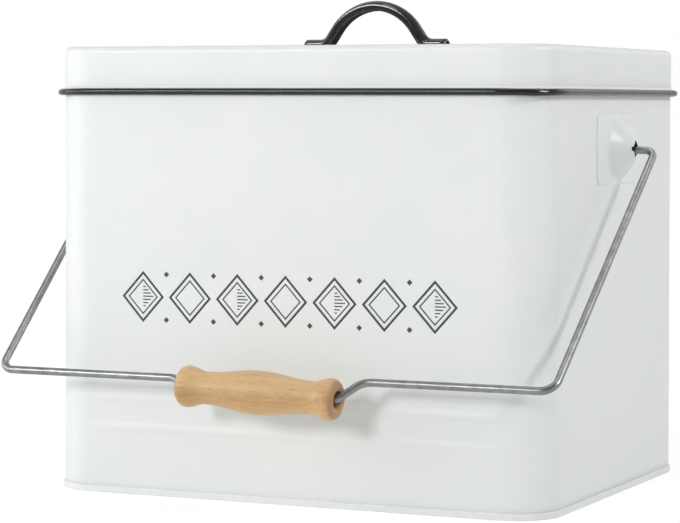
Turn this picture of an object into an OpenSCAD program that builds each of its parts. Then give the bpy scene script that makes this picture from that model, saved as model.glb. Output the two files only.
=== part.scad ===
// Countertop compost caddy: a coated sheet-metal box with a hinged cap lid,
// a wire bail in two domed ears, and a turned wooden grip.
// Millimetres. The origin is the centre of the base, +Z is up, and the front faces -Y.

/* [Body] */
// Width across the front, outside the walls
body_w = 250; // [200:1:300]
// Depth from front to rear, outside the walls
body_d = 200; // [170:1:240]
// Plan radius of the upright corners
corner_r = 22; // [15:0.5:35]
// Thickness of the wall sheet
sheet_t = 0.8; // [0.6:0.1:1]
// Height of the shoulder where the neck starts
shoulder_z = 188.6; // [150:0.2:220]
// How far the neck is set in from the walls
neck_inset = 1.3; // [1.2:0.1:2]
// Height of the neck above the shoulder
neck_h = 11.6; // [8:0.2:13]
// Radius of the neck's rolled top edge
neck_curl_r = 1.2; // [1:0.1:1.6]
// Height of the floor's underside above the table
floor_recess = 3.2; // [2.6:0.1:6]
// Height of the clinched seam round the base
seam_h = 3; // [2.6:0.1:5]
// How far the seam stands out from the walls
seam_out = 0.75; // [0.6:0.05:1.2]

/* [Pressed ribs] */
// Height of the lower rib's centre line
rib_z = 31.2; // [20:0.2:60]
// Distance between the two ribs
rib_pitch = 13.6; // [8:0.2:30]
// Height of a rib across the panel
rib_w = 5; // [3:0.1:8]
// How far a rib stands out
rib_h = 0.7; // [0.4:0.05:0.75]

/* [Lid] */
// Height of the lid's top above the table
lid_top = 210; // [206:0.5:216]
// How far the skirt stands proud of the walls
lid_proud = 0.3; // [0.1:0.05:0.4]
// Radius of the lid's top edge
lid_edge_r = 3; // [2:0.1:5]
// Radius of the rolled rim bead
bead_r = 1.6; // [1.4:0.05:2]
// Height of the bead's centre
bead_z = 188.8; // [150:0.2:220]
// Radius of the vent holes
vent_r = 2; // [1:0.1:2.4]

/* [Lid handle] */
// Length of the handle over its feet
strap_len = 76.6; // [65:0.2:90]
// Clear height under the arch
strap_rise = 18.7; // [16:0.1:24]
// Depth of the handle's section
strap_depth = 4.9; // [4:0.1:5.5]
// Width of the handle
strap_w = 8.5; // [8:0.1:12]
// Sheet thickness of the handle
strap_t = 1.2; // [1:0.1:1.5]
// Slope of the arch's legs, in degrees
strap_slope = 56; // [45:1:60]
// Inside radius of the arch's crown
strap_crown_r = 23.2; // [14:0.1:25]

/* [Ears] */
// Width of an ear plate, front to rear
ear_w = 60; // [50:1:70]
// Height of an ear plate
ear_h = 33.4; // [30:0.2:40]
// Height of an ear's centre
ear_z = 162.6; // [120:0.2:165]
// How far the dome stands out from the wall
dome_out = 9.3; // [8:0.1:12]
// Radius of the dome's sphere
dome_r = 15.1; // [14:0.1:18]
// Radius of the hole in the dome's tip
dome_hole_r = 2.6; // [2.2:0.05:3]

/* [Bail] */
// Radius of the bail's wire
wire_r = 1.8; // [1.5:0.05:2.1]
// Clearance between the wire and the bottom of its hole
wire_clear = 0.05; // [0.03:0.01:0.1]
// Length of an arm from the pivot to the crossbar, as the mean of both
bail_arm = 159.7; // [150:0.1:175]
// How much longer than that the left arm is, and shorter the right one, as bent by hand
bail_skew = 1.6; // [0:0.1:2]
// How far an arm's top stands out from the side wall
arm_top_out = 18.1; // [13:0.1:25]
// How far an arm's foot stands out from the side wall
arm_foot_out = 12.2; // [11:0.1:21]
// How far the bail has slid to the right in its holes
bail_shift = 0.4; // [-0.5:0.1:0.5]
// How far the grip's stretch of wire is set outwards
jog_depth = 8.1; // [4:0.1:12]
// Angle of the stored bail from straight down, towards the front
bail_angle = 50.1; // [42:0.1:80]

/* [Grip] */
// Length of the wooden grip
grip_len = 79.3; // [70:0.1:90]
// Radius of the grip at its belly
grip_r = 9.9; // [8:0.1:11]
// Radius of the grip at the bulges of its ends
grip_end_r = 9.45; // [8:0.05:11]
// Radius of the grip at its necks
grip_neck_r = 7.4; // [6.5:0.1:8]
// Radius of the grip's bore
grip_bore_r = 3.75; // [3.4:0.05:4.2]
// Depth of the countersink at each end of the bore, where the wire bends away
grip_sink = 1.5; // [1.3:0.1:1.8]
// How far the grip has slid along the wire
grip_shift = 0.2; // [-1:0.1:1]
// Lean of the grip's stretch of wire between the two jogs, in degrees
grip_tilt = 2.8; // [0:0.1:3]

/* [Hinges] */
// Distance of each hinge from the middle plane
hinge_x = 70; // [50:1:85]
// Width of a hinge leaf
hinge_w = 30; // [24:1:36]
// Thickness of a hinge leaf
leaf_t = 1; // [0.8:0.1:1.2]
// Radius of the hinge pin
pin_r = 1.25; // [1:0.05:1.3]
// Running clearance round the hinge pin
pin_clear = 0.05; // [0.03:0.01:0.09]

/* [Filter] */
// Width of the filter's tray
tray_w = 100; // [84:1:110]
// Depth of the filter's tray, front to rear
tray_d = 90; // [60:1:100]
// Height of the filter's tray
tray_h = 12; // [11:0.5:13]
// Thickness of the filter's felt
felt_h = 6; // [4:0.5:7]
// Clearance between the felt and the tray's walls
felt_clear = 0.5; // [0.3:0.1:1]
// Width of the slots under the felt
slot_w = 5; // [3:0.5:7]

/* [Hidden] */
$fn = 64;

white_coat = [0.93, 0.94, 0.94];
black_coat = [0.08, 0.08, 0.09];
bare_steel = [0.7, 0.71, 0.73];
beech = [0.8, 0.65, 0.45];
carbon = [0.12, 0.12, 0.12];

neck_top = shoulder_z + neck_inset + neck_h;
lid_under = lid_top - sheet_t;
bead_x = lid_proud + bead_r;
notch_w = hinge_w + 4;
knuckle_r = pin_r + leaf_t;
knuckle_gap = 0.2;
knuckle_mid = hinge_w * 0.47;
hinge_y = body_d / 2 + lid_proud + knuckle_r + 0.15;
hinge_z = bead_z;
leaf_reach = knuckle_r + 0.55;
rivet_r = 1.5;
rivet_clear = 0.05;
rivet_head_r = 2.5;
rivet_pitch = 18;
body_rivet_z = hinge_z - 11;
lid_rivet_z = neck_top + rivet_head_r + 0.3;
dome_x = body_w / 2 + dome_out - dome_r;
pivot_z = ear_z - (dome_hole_r - wire_r - wire_clear);
strap_peak = strap_rise + strap_crown_r * (1 / cos(strap_slope) - 1);
strap_foot_x = strap_peak / tan(strap_slope);
strap_lean = strap_depth * tan(strap_slope / 2);
screw_x = (strap_len / 2 + strap_foot_x) / 2 + 0.8;
screw_r = 2;
screw_hole_r = 2.2;
washer_t = 0.8;
washer_r = 4.5;
screw_head_h = 2.4;
screw_head_r = 3.5;
tray_t = 1.5;
tray_bottom = lid_under - tray_h;
tab_w = 14;
tab_d = 12;
tab_x = tray_w / 2 + 5;
tab_y = tray_d / 2 - tab_d;
slot_edge = 10;
arm_top_x = body_w / 2 + arm_top_out;
arm_foot_x = body_w / 2 + arm_foot_out;
grip_reach = bail_arm + jog_depth;
jog_x = grip_len / 2 - 1.35;
jog_left_run = 6.6;
jog_right_run = 9.6;

// Geometry shared by several pieces

// Heading of the line from point a to point b, in degrees
function heading(a, b) = atan2(b.y - a.y, b.x - a.x);

// Turn at corner i of a path, left positive, between -180 and 180 degrees
function turn(path, i) =
    let (t = heading(path[i], path[i + 1]) - heading(path[i - 1], path[i]))
    t > 180 ? t - 360 : t < -180 ? t + 360 : t;

// Length that the bend at corner i takes from each of the lines that meet there
function bend_reach(path, i) =
    i == 0 || i == len(path) - 1 ? 0 : path[i].z * tan(abs(turn(path, i)) / 2);

// Heading in which corner i of a path is reached, and the place where its bend starts
function bend_start(path, i) =
    let (h = heading(path[i - 1], path[i]), reach = bend_reach(path, i))
    [path[i].x - reach * cos(h), path[i].y - reach * sin(h), h];

// Centre of the bend at corner i of a path
function bend_centre(path, i) =
    let (s = bend_start(path, i), side = sign(turn(path, i)))
    [s.x - side * path[i].z * sin(s.z), s.y + side * path[i].z * cos(s.z)];

// Points of the line that runs a distance to the left of a path of [x, y, bend radius] corners
function beside(path, distance, steps = 10) = [
    for (i = [0 : len(path) - 1])
        let (inner = i > 0 && i < len(path) - 1)
        let (bend = inner ? turn(path, i) : 0, side = sign(bend))
        let (c = inner ? bend_centre(path, i) : path[i])
        let (h = heading(path[max(i - 1, 0)], path[max(i, 1)]))
        let (r = inner ? path[i].z - side * distance : distance)
        for (k = [0 : inner ? steps : 0])
            let (a = inner ? h - side * 90 + bend * k / steps : h + 90)
            [c.x + r * cos(a), c.y + r * sin(a)]
];

// Round wire along a path of [x, y, bend radius] corners in the XY plane. Each bend is
// thinner by a hair and starts inside the straight before it, so they join as one solid.
module wire_along(path, r) {
    hair = 0.01;
    for (i = [0 : len(path) - 2]) {
        a = path[i];
        b = path[i + 1];
        h = heading(a, b);
        from_a = bend_reach(path, i);
        run = norm([b.x - a.x, b.y - a.y]) - from_a - bend_reach(path, i + 1);
        translate([a.x + from_a * cos(h), a.y + from_a * sin(h), 0])
            rotate([0, 0, h])
                rotate([0, 90, 0])
                    cylinder(r = r, h = run);
    }
    for (i = [1 : len(path) - 2]) {
        bend = turn(path, i);
        c = bend_centre(path, i);
        h = bend_start(path, i).z;
        lap = 0.1 / path[i].z * 180 / PI;
        translate([c.x, c.y, 0])
            rotate([0, 0, (bend > 0 ? h - 90 : h + 90 + bend) - lap])
                rotate_extrude(angle = abs(bend) + 2 * lap)
                    translate([path[i].z, 0])
                        circle(r - hair);
    }
}

// Carries a wall section round the box's plan. The section's x is the distance outwards
// from the walls' outer face, and its y is the height.
module round_the_box() {
    side_x = body_w / 2 - corner_r;
    side_y = body_d / 2 - corner_r;
    for (k = [0 : 3]) {
        centre_x = k == 0 || k == 3 ? side_x : -side_x;
        centre_y = k < 2 ? side_y : -side_y;
        run = k % 2 == 0 ? 2 * side_x : 2 * side_y;
        translate([centre_x, centre_y, 0])
            rotate([0, 0, 90 * k]) {
                rotate_extrude(angle = 90)
                    translate([corner_r, 0])
                        children();
                rotate([90, 0, 90])
                    mirror([0, 0, 1])
                        linear_extrude(height = run)
                            translate([corner_r, 0])
                                children();
            }
    }
}

// Flat plate with the box's plan, grown outwards by a distance
module box_plate(grow, z, thickness) {
    side_x = body_w - 2 * corner_r;
    side_y = body_d - 2 * corner_r;
    r = corner_r + grow;
    translate([0, 0, z])
        linear_extrude(height = thickness)
            union() {
                square([side_x, side_y + 2 * r], center = true);
                square([side_x + 2 * r, side_y], center = true);
                for (x = [-1, 1])
                    for (y = [-1, 1])
                        translate([x * side_x / 2, y * side_y / 2])
                            circle(r);
            }
}

// One rivet along +Y: its outer head rests at y = 0 and its tail closes at -grip
module rivet(grip) {
    rotate([90, 0, 0]) {
        translate([0, 0, -0.9])
            cylinder(r1 = rivet_head_r * 0.62, r2 = rivet_head_r, h = 0.9);
        cylinder(r = rivet_r, h = grip);
        translate([0, 0, grip])
            cylinder(r = rivet_head_r * 0.88, h = 0.6);
    }
}

module at_rivets(z) {
    for (hx = [-hinge_x, hinge_x])
        for (dx = [-rivet_pitch / 2, rivet_pitch / 2])
            translate([hx + dx, 0, z])
                children();
}

// Hole through a rear wall or leaf for a rivet
module rivet_hole(y_from, y_to) {
    translate([0, y_to, 0])
        rotate([90, 0, 0])
            cylinder(r = rivet_r + rivet_clear, h = y_to - y_from);
}

// Box body

module wall_section() {
    union() {
        polygon([
            [0, sheet_t], [0, shoulder_z], [-neck_inset, shoulder_z + neck_inset],
            [-neck_inset, neck_top - neck_curl_r],
            [-neck_inset - sheet_t, neck_top - neck_curl_r],
            [-neck_inset - sheet_t, shoulder_z + neck_inset - sheet_t * 0.41],
            [-sheet_t, shoulder_z - sheet_t * 0.41], [-sheet_t, sheet_t]
        ]);
        translate([-neck_inset - neck_curl_r, neck_top - neck_curl_r])
            circle(neck_curl_r);
    }
}

// A rounded bar that crosses the panel face at y = 0, with its crest at y = -rib_h
module rib_bar(inset) {
    r = (rib_w * rib_w / 4 + rib_h * rib_h) / (2 * rib_h);
    half = body_w / 2 - corner_r - 0.5;
    translate([0, r - rib_h, 0]) {
        rotate([0, 90, 0])
            cylinder(r = r - inset, h = 2 * half, center = true);
        for (s = [-1, 1])
            translate([s * half, 0, 0])
                sphere(r - inset);
    }
}

module at_ribs() {
    for (turned = [0, 180])
        for (i = [0, 1])
            rotate([0, 0, turned])
                translate([0, -body_d / 2, rib_z + i * rib_pitch])
                    children();
}

module body_shell() {
    color(white_coat)
        difference() {
            union() {
                round_the_box()
                    wall_section();
                at_ribs()
                    intersection() {
                        rib_bar(0);
                        translate([0, -rib_w / 2 + sheet_t / 2, 0])
                            cube([body_w, rib_w, 2 * rib_w], center = true);
                    }
            }
            at_ribs()
                intersection() {
                    rib_bar(sheet_t);
                    translate([0, -rib_w / 2 + sheet_t + 0.01, 0])
                        cube([body_w, rib_w, 2 * rib_w], center = true);
                }
            at_rivets(body_rivet_z)
                rivet_hole(body_d / 2 - 3, body_d / 2 + 3);
        }
}

// Recessed floor whose edge turns down, under the wall and up outside it
module base_pan() {
    edge = 0.3;
    color(white_coat)
        union() {
            round_the_box()
                polygon([
                    [-2 * sheet_t, 0], [seam_out - edge, 0], [seam_out, edge],
                    [seam_out, seam_h - edge], [seam_out - edge, seam_h], [0, seam_h],
                    [0, sheet_t], [-sheet_t, sheet_t], [-sheet_t, floor_recess + sheet_t],
                    [-2 * sheet_t, floor_recess + sheet_t]
                ]);
            box_plate(-1.5 * sheet_t, floor_recess, sheet_t);
        }
}

// Ears

module ear_star() {
    union() {
        circle(dome_hole_r);
        for (a = [0 : 90 : 270])
            rotate(a)
                translate([dome_hole_r - 0.1, 0])
                    circle(1);
    }
}

// Half-section of the hollow dome: x is the distance from the pivot's axis, y from the wall
module dome_section() {
    centre = dome_x - body_w / 2;
    intersection() {
        translate([0, centre])
            difference() {
                circle(dome_r);
                circle(dome_r - sheet_t);
            }
        square([dome_r, dome_out + 1]);
    }
}

module ear_outline() {
    round_r = 4;
    union() {
        square([ear_w - 2 * round_r, ear_h], center = true);
        square([ear_w, ear_h - 2 * round_r], center = true);
        for (y = [-1, 1])
            for (z = [-1, 1])
                translate([y * (ear_w / 2 - round_r), z * (ear_h / 2 - round_r)])
                    circle(round_r);
    }
}

// The right ear: a plate on the side wall, with a hollow dome round the wire's hole
module ear_right() {
    mouth_r = sqrt(pow(dome_r - sheet_t, 2) - pow(dome_x - body_w / 2, 2));
    color(white_coat)
        translate([body_w / 2, 0, ear_z])
            rotate([90, 0, 90])
                difference() {
                    union() {
                        linear_extrude(height = sheet_t)
                            difference() {
                                ear_outline();
                                circle(mouth_r);
                            }
                        rotate_extrude()
                            dome_section();
                    }
                    translate([0, 0, dome_out - 3])
                        linear_extrude(height = 6)
                            ear_star();
                    // Shallow pits left by the spot welds
                    for (y = [-1, 1])
                        translate([y * (ear_w / 2 - 6), 0, sheet_t + 2.2])
                            sphere(2.5);
                }
}

module ear_plate_right() {
    ear_right();
}

module ear_plate_left() {
    mirror([1, 0, 0])
        ear_right();
}

// Bail and grip

// Puts what is drawn in the XY plane into the bail's plane: x stays, y runs from the pivot
module in_bail() {
    translate([bail_shift, 0, pivot_z])
        rotate([270 - bail_angle, 0, 0])
            children();
}

// Distance from the pivots' axis to the wire inside the grip
function grip_line(x) = grip_reach + x * tan(grip_tilt);

// Corners of the wire and their bend radii, from the right end to the left one
bail_path = [
    [body_w / 2 + 4, 0, 0],
    [arm_top_x, 0, 3.75],
    [arm_foot_x, bail_arm - bail_skew, 7],
    [jog_x + jog_right_run, bail_arm - bail_skew, 8.5],
    [jog_x, grip_line(jog_x), 5],
    [-jog_x, grip_line(-jog_x), 5],
    [-jog_x - jog_left_run, bail_arm + bail_skew, 6],
    [-arm_foot_x, bail_arm + bail_skew, 7],
    [-arm_top_x, 0, 3.75],
    [-body_w / 2 - 4, 0, 0]
];

module bail_wire() {
    color(bare_steel)
        in_bail() {
            wire_along(bail_path, wire_r);
            // Upset ends that keep the wire inside the domes
            for (s = [-1, 1])
                translate([s * (body_w / 2 + 5.8), 0, 0])
                    rotate([0, 90, 0])
                        cylinder(r = 3.1, h = 1.4, center = true);
        }
}

// Radius of the grip at a distance from its middle: belly, neck, bulge, rounded end
function grip_radius(x) =
    let (neck = grip_len * 0.34, bulge = grip_len * 0.4565, half = grip_len / 2)
    let (wave = cos(180 * (x < neck ? x / neck : (x - neck) / (bulge - neck))))
    x < neck ? grip_neck_r + (grip_r - grip_neck_r) * (1 + wave) / 2
    : x < bulge ? grip_neck_r + (grip_end_r - grip_neck_r) * (1 - wave) / 2
    : grip_end_r - (half - bulge) * (1 - sqrt(max(0, 1 - pow((x - bulge) / (half - bulge), 2))));

module bail_grip() {
    half = grip_len / 2;
    steps = 44;
    across = [for (i = [-steps : steps]) half * sin(90 * i / steps)];
    color(beech)
        in_bail()
            translate([grip_shift, grip_line(grip_shift), 0])
                rotate([0, 90, grip_tilt])
                    rotate_extrude()
                        polygon(concat(
                            [for (x = across) [grip_radius(abs(x)), x]],
                            [[grip_bore_r + grip_sink, half], [grip_bore_r, half - grip_sink]],
                            [[grip_bore_r, grip_sink - half], [grip_bore_r + grip_sink, -half]]
                        ));
}

// Lid

module bead_circle(r) {
    translate([bead_x, bead_z])
        circle(r);
}

// Cuts the rim and the skirt's foot away where the hinges sit
module hinge_notches() {
    for (s = [-1, 1])
        translate([s * hinge_x - notch_w / 2, body_d / 2 - 4, bead_z - 5])
            cube([notch_w, 12, 8.1]);
}

module skirt_section() {
    difference() {
        union() {
            translate([lid_proud - sheet_t, bead_z + 2.6])
                square([sheet_t, lid_top - lid_edge_r - bead_z - 2.6]);
            translate([lid_proud - lid_edge_r, lid_top - lid_edge_r])
                intersection() {
                    difference() {
                        circle(lid_edge_r);
                        circle(lid_edge_r - sheet_t);
                    }
                    square(lid_edge_r);
                }
            polygon([
                [lid_proud, bead_z + 2.6], [lid_proud - sheet_t, bead_z + 2.6],
                [lid_proud, bead_z + 1], [bead_x, bead_z + 1], [lid_proud + sheet_t, bead_z + 1.5]
            ]);
        }
        bead_circle(bead_r);
    }
}

module vent_holes() {
    for (ring = [1, 2])
        for (i = [0 : 6 * ring - 1])
            rotate([0, 0, i * 60 / ring])
                translate([7 * ring, 0, lid_under - 1])
                    cylinder(r = vent_r, h = sheet_t + 2);
    translate([0, 0, lid_under - 1])
        cylinder(r = vent_r, h = sheet_t + 2);
}

module lid_shell() {
    color(white_coat)
        difference() {
            union() {
                round_the_box()
                    skirt_section();
                box_plate(lid_proud - lid_edge_r, lid_under, sheet_t);
            }
            hinge_notches();
            vent_holes();
            for (s = [-1, 1])
                translate([s * screw_x, 0, lid_under - 1])
                    cylinder(r = screw_hole_r, h = sheet_t + 2);
            at_tabs()
                translate([0, 0, lid_under - 1])
                    cylinder(r = rivet_r + rivet_clear, h = sheet_t + 2);
            at_rivets(lid_rivet_z)
                rivet_hole(body_d / 2 - 3, body_d / 2 + 3);
        }
}

module lid_rim() {
    color(black_coat)
        difference() {
            round_the_box()
                difference() {
                    bead_circle(bead_r);
                    bead_circle(bead_r - 0.6);
                }
            hinge_notches();
        }
}

module lid_rim_wire() {
    color(bare_steel)
        difference() {
            round_the_box()
                bead_circle(bead_r - 0.6);
            hinge_notches();
        }
}

// Lid handle

// Lower line of the handle, and the softer upper line, each with corners and bend radii
strap_low = [
    [-strap_len / 2, 0, 0],
    [-strap_foot_x, 0, 1.6],
    [0, strap_peak, strap_crown_r],
    [strap_foot_x, 0, 1.6],
    [strap_len / 2, 0, 0]
];
strap_high = [
    [1.2 - strap_len / 2, strap_depth, 0],
    [-strap_foot_x - strap_lean, strap_depth, 4.5],
    [0, strap_peak + strap_depth / cos(strap_slope), strap_crown_r + strap_depth],
    [strap_foot_x + strap_lean, strap_depth, 4.5],
    [strap_len / 2 - 1.2, strap_depth, 0]
];

function reversed(points) = [for (i = [len(points) - 1 : -1 : 0]) points[i]];

// Band of a width between lines that run a distance below the upper and the lower line
module strap_band(width, down = 0, under = 0) {
    rotate([90, 0, 0])
        translate([0, 0, -width / 2])
            linear_extrude(height = width)
                polygon(concat(
                    beside(strap_high, -down, 16), reversed(beside(strap_low, -under, 16))
                ));
}

// Shoulders of the handle, from its crest outwards: how far down, and how much narrower
strap_shoulders = [[0, 4.4], [0.3, 2.6], [0.7, 1.3], [1.3, 0.4], [1.8, 0]];

// Arched handle of channel section, with a tapped block in each foot
module lid_handle() {
    block = strap_len / 2 - strap_foot_x - 4;
    color(black_coat)
        translate([0, 0, lid_top])
            difference() {
                for (shoulder = strap_shoulders)
                    strap_band(strap_w - shoulder.y, down = shoulder.x);
                difference() {
                    strap_band(strap_w - 2 * strap_t, down = strap_t, under = 1);
                    for (s = [-1, 1])
                        translate([s * (strap_len / 2 - block / 2 + 0.5), 0, 0])
                            cube([block + 1, strap_w, 4 * strap_depth], center = true);
                }
                for (s = [-1, 1])
                    translate([s * screw_x, 0, -1])
                        cylinder(r = screw_r, h = strap_depth);
            }
}

module handle_screws() {
    color(bare_steel)
        for (s = [-1, 1])
            translate([s * screw_x, 0, lid_under - washer_t - screw_head_h])
                difference() {
                    union() {
                        cylinder(r = screw_head_r, h = screw_head_h);
                        cylinder(r = screw_r, h = screw_head_h + washer_t + sheet_t + strap_depth - 1.4);
                    }
                    for (a = [0, 90])
                        rotate([0, 0, a])
                            translate([-2.2, -0.4, -0.1])
                                cube([4.4, 0.8, 1.3]);
                }
}

module handle_washers() {
    color(bare_steel)
        for (s = [-1, 1])
            translate([s * screw_x, 0, lid_under - washer_t])
                difference() {
                    cylinder(r = washer_r, h = washer_t);
                    translate([0, 0, -1])
                        cylinder(r = screw_hole_r, h = washer_t + 2);
                }
}

// Filter under the vents

module at_tabs() {
    for (sx = [-1, 1])
        for (sy = [-1, 1])
            translate([sx * tab_x, sy * tab_y, 0])
                children();
}

// Tray with a slotted bottom, a low rear lip that the pad slides over, and four tabs
module filter_holder() {
    slots = 9;
    pitch = (tray_w - 2 * slot_edge + slot_w) / slots;
    color(black_coat)
        difference() {
            union() {
                translate([-tray_w / 2, -tray_d / 2, tray_bottom])
                    cube([tray_w, tray_d, tray_h]);
                at_tabs()
                    translate([-tab_w / 2, -tab_d / 2, lid_under - tray_t])
                        cube([tab_w, tab_d, tray_t]);
            }
            translate([tray_t - tray_w / 2, tray_t - tray_d / 2, tray_bottom + tray_t])
                cube([tray_w - 2 * tray_t, tray_d - 2 * tray_t, tray_h]);
            translate([-tray_w / 2 + slot_edge, tray_d / 2 - 2 * tray_t, tray_bottom + tray_t + 2])
                cube([tray_w - 2 * slot_edge, 4 * tray_t, tray_h]);
            for (i = [0 : slots - 1])
                translate([
                    (i - (slots - 1) / 2) * pitch - slot_w / 2, slot_edge - tray_d / 2, tray_bottom - 1
                ])
                    cube([slot_w, tray_d - 2 * slot_edge, tray_t + 2]);
            at_tabs()
                translate([0, 0, lid_under - 3])
                    cylinder(r = rivet_r + rivet_clear, h = 6);
        }
}

module carbon_filter() {
    edge = tray_t + felt_clear;
    color(carbon)
        translate([edge - tray_w / 2, edge - tray_d / 2, tray_bottom + tray_t])
            cube([tray_w - 2 * edge, tray_d - 2 * edge, felt_h]);
}

module filter_rivets() {
    color(white_coat)
        at_tabs()
            translate([0, 0, lid_top])
                rotate([90, 0, 0])
                    rivet(sheet_t + tray_t);
}

// Hinges on the rear wall

// A knuckle from x = a to b, joined to its leaf by a strip at y = strip_y
module knuckle(a, b, strip_y, up) {
    translate([a, hinge_y, hinge_z])
        rotate([0, 90, 0])
            cylinder(r = knuckle_r, h = b - a);
    translate([a, strip_y, up ? hinge_z : hinge_z - leaf_reach - 1])
        cube([b - a, leaf_t, leaf_reach + 1]);
}

module pin_hole() {
    translate([-hinge_w, hinge_y, hinge_z])
        rotate([0, 90, 0])
            cylinder(r = pin_r + pin_clear, h = 2 * hinge_w);
}

module body_leaf() {
    leaf_h = 17;
    near = knuckle_mid / 2 + knuckle_gap;
    color(white_coat)
        difference() {
            union() {
                translate([-hinge_w / 2, body_d / 2, hinge_z - leaf_reach - leaf_h])
                    cube([hinge_w, leaf_t, leaf_h]);
                knuckle(near, hinge_w / 2, body_d / 2, false);
                knuckle(-hinge_w / 2, -near, body_d / 2, false);
            }
            pin_hole();
            for (dx = [-1, 1])
                translate([dx * rivet_pitch / 2, 0, body_rivet_z])
                    rivet_hole(body_d / 2 - 1, body_d / 2 + 3);
        }
}

module lid_leaf() {
    leaf_y = body_d / 2 + lid_proud;
    leaf_h = lid_rivet_z + rivet_head_r + 0.2 - hinge_z - leaf_reach;
    color(white_coat)
        difference() {
            union() {
                translate([-hinge_w / 2, leaf_y, hinge_z + leaf_reach])
                    cube([hinge_w, leaf_t, leaf_h]);
                knuckle(-knuckle_mid / 2, knuckle_mid / 2, leaf_y, true);
            }
            pin_hole();
            for (dx = [-1, 1])
                translate([dx * rivet_pitch / 2, 0, lid_rivet_z])
                    rivet_hole(body_d / 2 - 1, body_d / 2 + 3);
        }
}

module hinge_pin() {
    color(bare_steel)
        translate([0, hinge_y, hinge_z])
            rotate([0, 90, 0]) {
                cylinder(r = pin_r, h = hinge_w + 0.4, center = true);
                for (s = [-1, 1])
                    translate([0, 0, s * (hinge_w / 2 + 0.6)])
                        cylinder(r = pin_r + 0.6, h = 0.8, center = true);
            }
}

module hinge_left_body_leaf() {
    translate([-hinge_x, 0, 0])
        body_leaf();
}

module hinge_right_body_leaf() {
    translate([hinge_x, 0, 0])
        body_leaf();
}

module hinge_left_lid_leaf() {
    translate([-hinge_x, 0, 0])
        lid_leaf();
}

module hinge_right_lid_leaf() {
    translate([hinge_x, 0, 0])
        lid_leaf();
}

module hinge_left_pin() {
    translate([-hinge_x, 0, 0])
        hinge_pin();
}

module hinge_right_pin() {
    translate([hinge_x, 0, 0])
        hinge_pin();
}

module body_leaf_rivets() {
    color(white_coat)
        at_rivets(body_rivet_z)
            translate([0, body_d / 2 + leaf_t, 0])
                rivet(leaf_t + sheet_t);
}

module lid_leaf_rivets() {
    color(white_coat)
        at_rivets(lid_rivet_z)
            translate([0, body_d / 2 + lid_proud + leaf_t, 0])
                rivet(leaf_t + sheet_t);
}

body_shell();
base_pan();
ear_plate_left();
ear_plate_right();
bail_wire();
bail_grip();
lid_shell();
lid_rim();
lid_rim_wire();
lid_handle();
handle_screws();
handle_washers();
filter_holder();
carbon_filter();
filter_rivets();
hinge_left_body_leaf();
hinge_left_lid_leaf();
hinge_left_pin();
hinge_right_body_leaf();
hinge_right_lid_leaf();
hinge_right_pin();
body_leaf_rivets();
lid_leaf_rivets();
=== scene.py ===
# %% [markdown]
# # A compost caddy, dressed for the camera
# The construction comes in as a fixed frame: walls, lid, hinges, bail and grip, each at its real
# size. This lesson gives every one of them its finish. Pieces whose softness matters, such as the
# pressed walls, the rolled rim and the turned grip, are worked out again as smooth numpy surfaces
# in the same place. Simple hardware keeps its own mesh and only gets a better material.

# %% Load the frame
import math

import bpy
import numpy as np
from mathutils import Matrix


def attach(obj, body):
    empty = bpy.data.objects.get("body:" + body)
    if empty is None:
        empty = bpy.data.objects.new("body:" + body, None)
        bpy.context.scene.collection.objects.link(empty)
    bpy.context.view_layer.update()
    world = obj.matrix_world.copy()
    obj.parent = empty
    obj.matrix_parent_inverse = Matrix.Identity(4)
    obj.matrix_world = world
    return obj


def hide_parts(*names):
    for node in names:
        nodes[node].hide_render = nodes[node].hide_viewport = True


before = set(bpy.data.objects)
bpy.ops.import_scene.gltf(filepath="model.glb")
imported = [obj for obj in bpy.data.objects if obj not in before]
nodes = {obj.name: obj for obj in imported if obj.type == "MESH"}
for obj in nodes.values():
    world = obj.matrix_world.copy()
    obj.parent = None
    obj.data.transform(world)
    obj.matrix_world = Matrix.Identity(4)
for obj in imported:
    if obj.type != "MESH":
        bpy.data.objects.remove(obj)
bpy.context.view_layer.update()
mm = 0.001
print("nodes in the frame:", len(nodes))

# %% [markdown]
# The main sizes are the ones that the caddy was built with, a few of them trimmed by fractions of a
# millimetre to the look of the real one. They are kept in millimetres, because that is how a maker
# of tinware would speak of them, and turned to metres when a mesh is made.

# %% Sizes of the caddy
body_w, body_d, corner_r = 250.0, 200.0, 22.0
sheet_t = 0.8
shoulder_z, neck_inset, neck_top, neck_curl_r = 188.6, 1.3, 201.5, 1.2
rib_heights, rib_w, rib_h, rib_shift = (31.2, 44.8), 5.4, 0.43, 2.8
lid_top, lid_proud = 210.0, 0.3
bead_r, bead_z = 1.6, 188.8
bead_out = lid_proud + bead_r
hinge_x, hinge_w = 70.0, 30.0
notch_near, notch_far = hinge_x - hinge_w / 2 - 2, hinge_x + hinge_w / 2 + 2
ear_w, ear_h, ear_z = 60.0, 33.4, 162.6
dome_out, dome_foot, dome_hole_r, plate_h = 9.3, 15.6, 2.9, 0.5
wire_r, pivot_z = 1.8, 161.85
bail_arm, bail_skew, bail_shift = 159.7, 1.6, 0.4
jog_depth, bail_angle = 8.1, math.radians(50.1)
arm_top_x, arm_foot_x = 143.1, 137.2
grip_len, grip_r, grip_end_r, grip_neck_r, grip_bore_r = 79.3, 9.9, 9.45, 7.4, 3.75
grip_shift, grip_sink, grip_tilt = 0.2, 0.65, math.radians(2.8)
jog_x, jog_left_run, jog_right_run = 39.0, 5.9, 8.9
print("body", body_w, "x", body_d, "mm, lid top at", lid_top, "mm")

# %% [markdown]
# The camera stands to the right of the front, at the height of the lid, a good metre away with a
# long lens. Its place and lens were solved from the box's own edges, so the same edges land on the
# same pixels. The lens shift takes the place of a tilt, which keeps upright edges nearly parallel.

# %% Camera
camera_place = (0.5260, -1.1927, 0.1841)
camera_yaw, camera_pitch, camera_roll = math.radians(24.765), -0.0238, 0.0023
focal_px, centre_px = 2662.4, (329.35, 165.40)
frame_px = (680, 523)


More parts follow.
